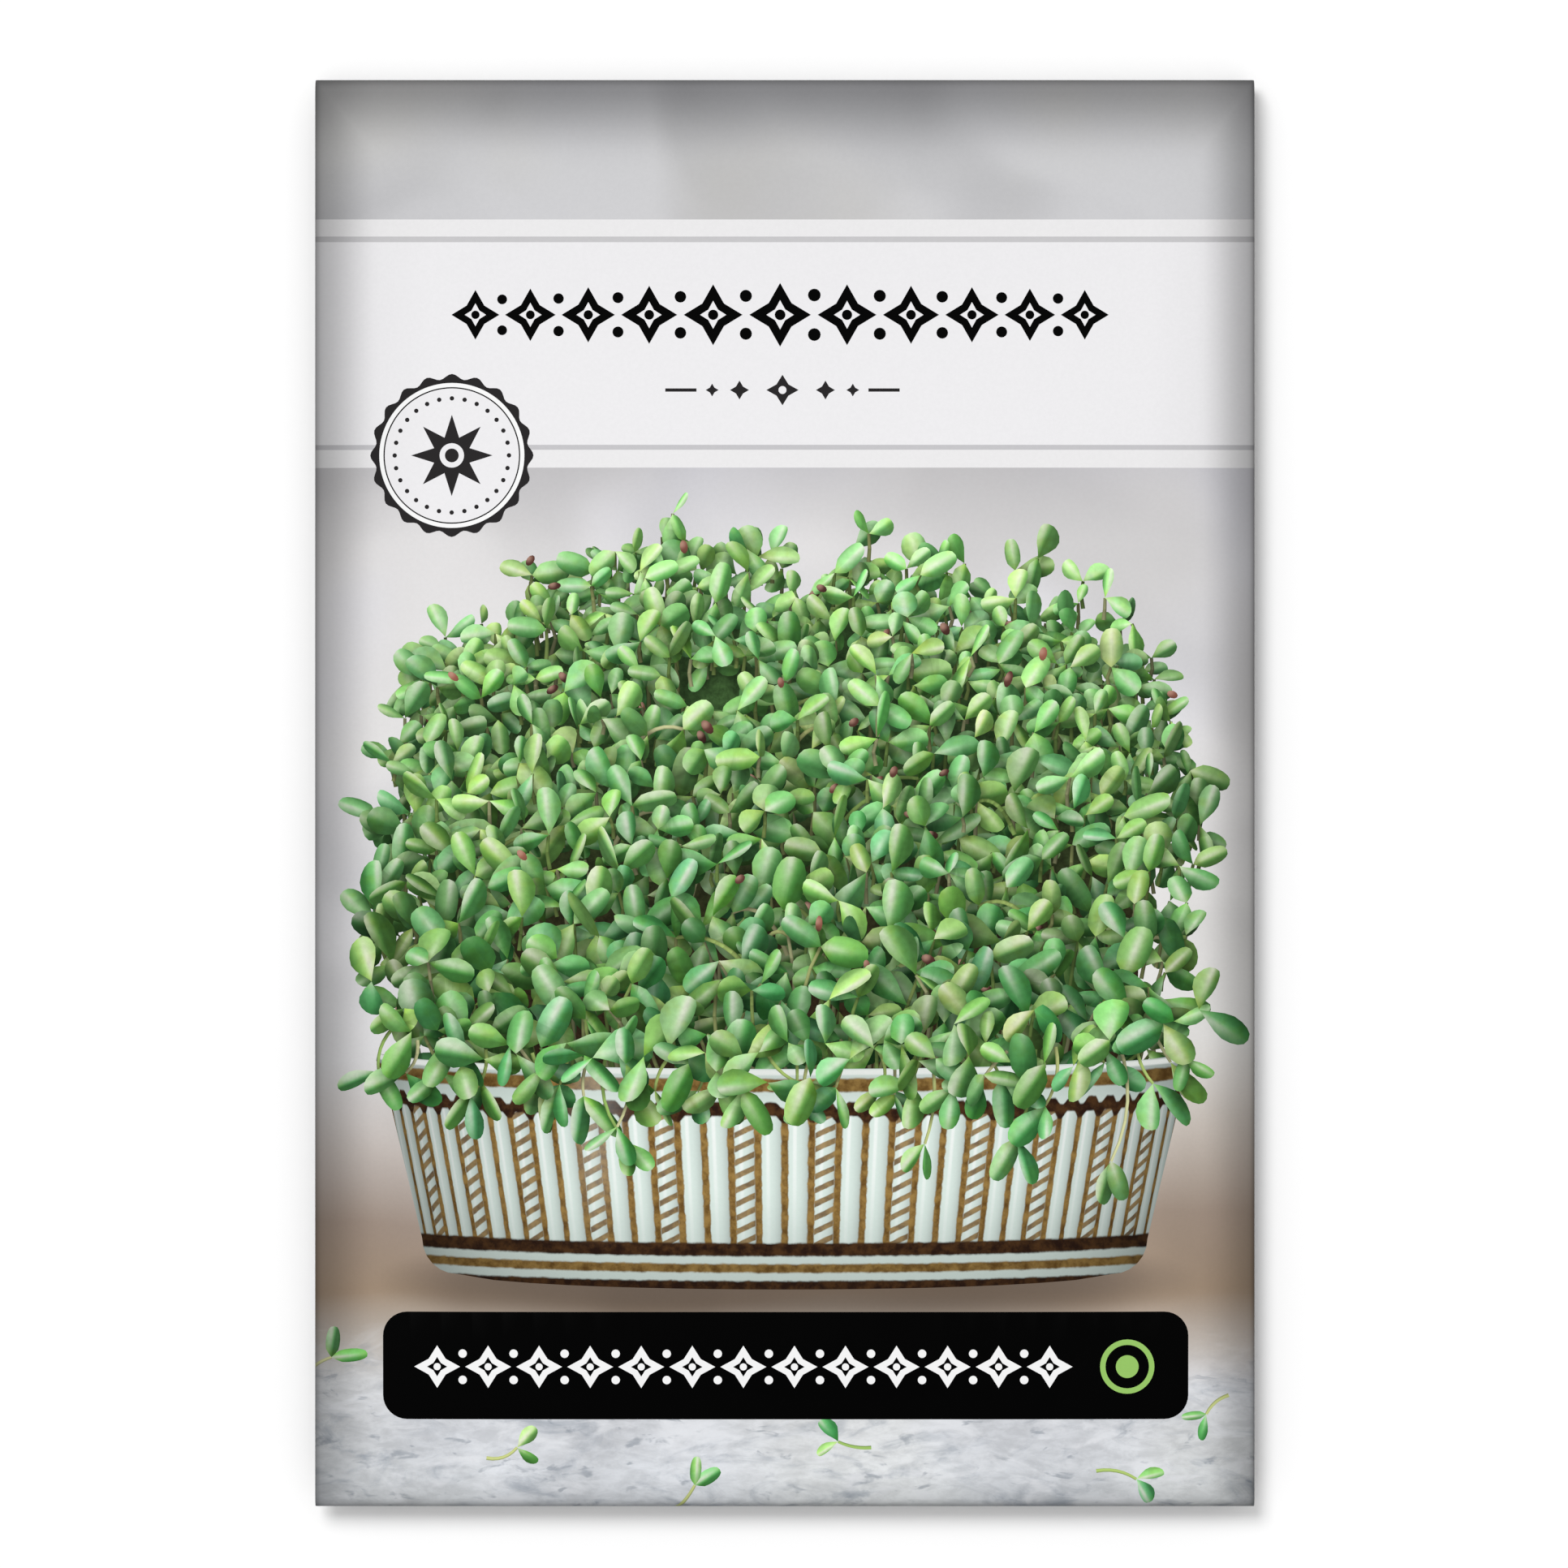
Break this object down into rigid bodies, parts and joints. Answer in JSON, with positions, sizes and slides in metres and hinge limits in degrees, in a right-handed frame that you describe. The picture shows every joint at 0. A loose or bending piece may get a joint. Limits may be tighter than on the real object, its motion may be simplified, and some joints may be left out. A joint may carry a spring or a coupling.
{
  "type": "seed packet",
  "caption": "Flat paper envelope of folded sheet, glued shut and softly swollen by the small seeds inside, lying on its back with the printed front up.",
  "frame": {"origin": "under the middle of the packet, on the surface that it lies on", "axes": "+Y towards the packet's top edge, +Z out of its printed front, +X to the right as the front is read"},
  "size_m": [0.0794, 0.1206, 0.0046],
  "materials": {
    "printed_paper": "satin",
    "seam_glue": "satin",
    "seeds": "matte"
  },
  "bodies": {
    "root": {"paper_envelope": "printed_paper", "left_seam_glue": "seam_glue", "right_seam_glue": "seam_glue", "flap_glue": "seam_glue", "seed_fill": "seeds"}
  },
  "joints": []
}
